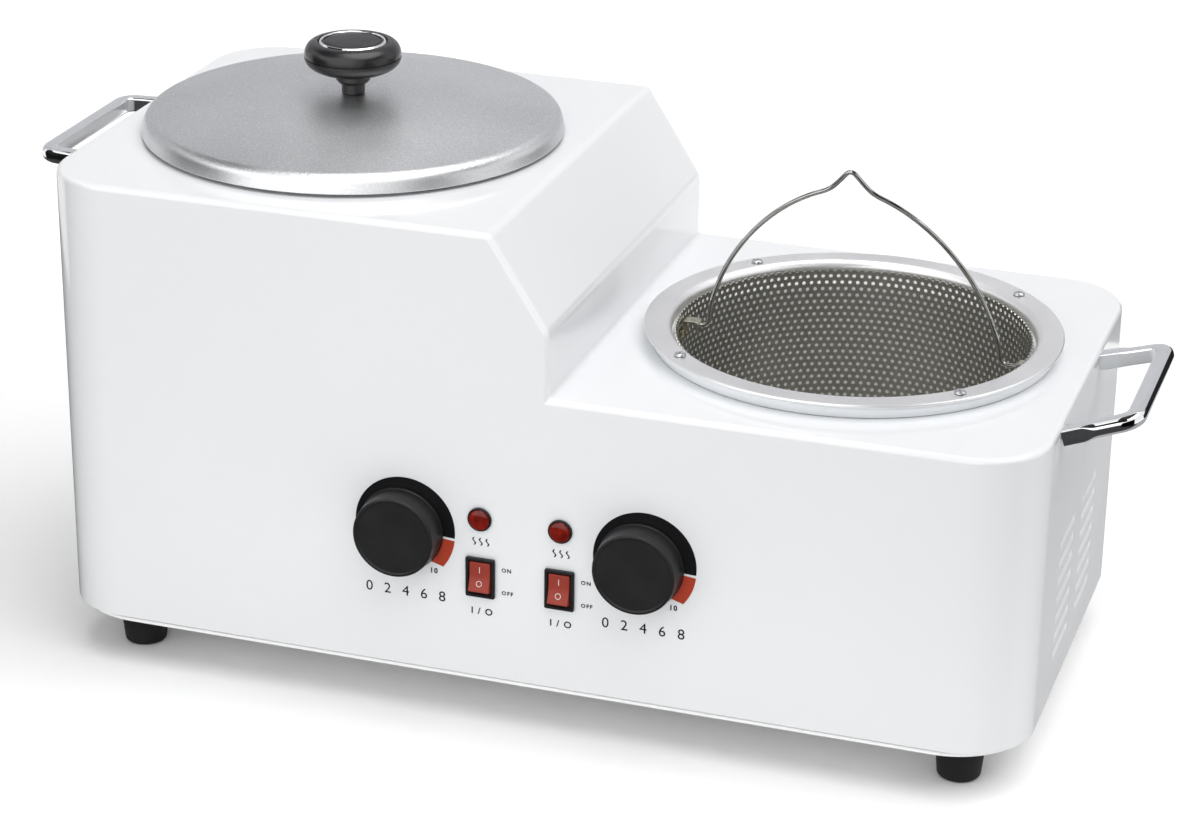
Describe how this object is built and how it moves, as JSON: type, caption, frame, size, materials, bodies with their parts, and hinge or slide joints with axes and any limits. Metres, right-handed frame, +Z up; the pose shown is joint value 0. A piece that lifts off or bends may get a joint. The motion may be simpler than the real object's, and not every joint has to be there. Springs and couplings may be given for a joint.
{
  "type": "twin-pot wax heater",
  "caption": "Stepped white wax heater: a deep pot under a spun lid, a shallow pot with a perforated lift-out basket and bail, thermostat knobs, rocker switches and end handles.",
  "frame": {"origin": "under the middle of the whole object's bounding box, on the surface that the feet stand on", "axes": "+X to the right along the front, from the tall side with the lid to the low side with the basket; -Y is the front with the knobs; +Z up"},
  "size_m": [0.5746, 0.2646, 0.3056],
  "materials": {
    "enamel": "gloss",
    "plate": "satin",
    "rubber": "matte",
    "steel": "satin",
    "chrome": "polished",
    "aluminium": "satin",
    "spun_aluminium": "fine sanded",
    "perforated_steel": "bright, perforated",
    "black_plastic": "satin",
    "gloss_black": "gloss",
    "red_plastic": "gloss",
    "lamp_red": "clear gloss",
    "heater_jacket": "heat-stained",
    "wool": "fibrous",
    "copper": "bright",
    "ceramic": "matte"
  },
  "bodies": {
    "heater": {"housing": "enamel", "base_plate": "plate", "foot_front_left": "rubber", "foot_front_right": "rubber", "foot_rear_left": "rubber", "foot_rear_right": "rubber", "foot_screw_front_left": "steel", "foot_screw_front_right": "steel", "foot_screw_rear_left": "steel", "foot_screw_rear_right": "steel", "pot_left": "aluminium", "pot_right": "aluminium", "ring_left": "aluminium", "ring_right": "aluminium", "ring_screw_left_1": "steel", "ring_screw_left_2": "steel", "ring_screw_left_3": "steel", "ring_screw_left_4": "steel", "ring_screw_right_1": "steel", "ring_screw_right_2": "steel", "ring_screw_right_3": "steel", "ring_screw_right_4": "steel", "heater_band_left": "heater_jacket", "heater_band_right": "heater_jacket", "insulation_left": "wool", "insulation_right": "wool", "thermal_cutout_left": "ceramic", "thermal_cutout_right": "ceramic", "handle_left": "chrome", "handle_right": "chrome", "handle_screw_left_1": "steel", "handle_screw_left_2": "steel", "handle_screw_right_1": "steel", "handle_screw_right_2": "steel", "thermostat_left": "ceramic", "thermostat_right": "ceramic", "thermostat_bulb_left": "copper", "thermostat_bulb_right": "copper", "switch_body_left": "black_plastic", "switch_body_right": "black_plastic", "lamp_body_left": "black_plastic", "lamp_body_right": "black_plastic", "lamp_lens_left": "lamp_red", "lamp_lens_right": "lamp_red", "mains_inlet": "black_plastic", "terminal_block": "ceramic"},
    "pot_lid": {"lid": "spun_aluminium", "lid_knob_stem": "black_plastic", "lid_knob": "gloss_black", "lid_knob_ring": "chrome", "lid_knob_cap": "black_plastic", "lid_knob_screw": "steel"},
    "basket": {"filter_basket": "perforated_steel"},
    "bail": {"basket_bail": "chrome"},
    "knob_left": {"thermostat_knob_left": "black_plastic", "thermostat_shaft_left": "steel"},
    "knob_right": {"thermostat_knob_right": "black_plastic", "thermostat_shaft_right": "steel"},
    "rocker_left": {"switch_rocker_left": "red_plastic"},
    "rocker_right": {"switch_rocker_right": "red_plastic"}
  },
  "joints": [
    {"name": "lid_lift", "type": "slide", "parent": "heater", "child": "pot_lid", "axis": [0, 0, 1], "range_m": [0, 0.12]},
    {"name": "basket_lift", "type": "slide", "parent": "heater", "child": "basket", "axis": [0, 0, 1], "range_m": [0, 0.13]},
    {"name": "bail_swing", "type": "hinge", "parent": "basket", "child": "bail", "pos_m": [0.132, 0.00515, 0.1768], "axis": [1, 0, 0], "range_deg": [-92, 67]},
    {"name": "left_knob_turn", "type": "hinge", "parent": "heater", "child": "knob_left", "pos_m": [-0.059, -0.11935, 0.1015], "axis": [0, 1, 0], "range_deg": [0, 270]},
    {"name": "right_knob_turn", "type": "hinge", "parent": "heater", "child": "knob_right", "pos_m": [0.063, -0.11935, 0.1015], "axis": [0, 1, 0], "range_deg": [0, 270]},
    {"name": "left_rocker_tilt", "type": "hinge", "parent": "heater", "child": "rocker_left", "pos_m": [-0.0181, -0.11685, 0.0817], "axis": [1, 0, 0], "range_deg": [0, 18]},
    {"name": "right_rocker_tilt", "type": "hinge", "parent": "heater", "child": "rocker_right", "pos_m": [0.0224, -0.11685, 0.0817], "axis": [1, 0, 0], "range_deg": [0, 18]}
  ]
}
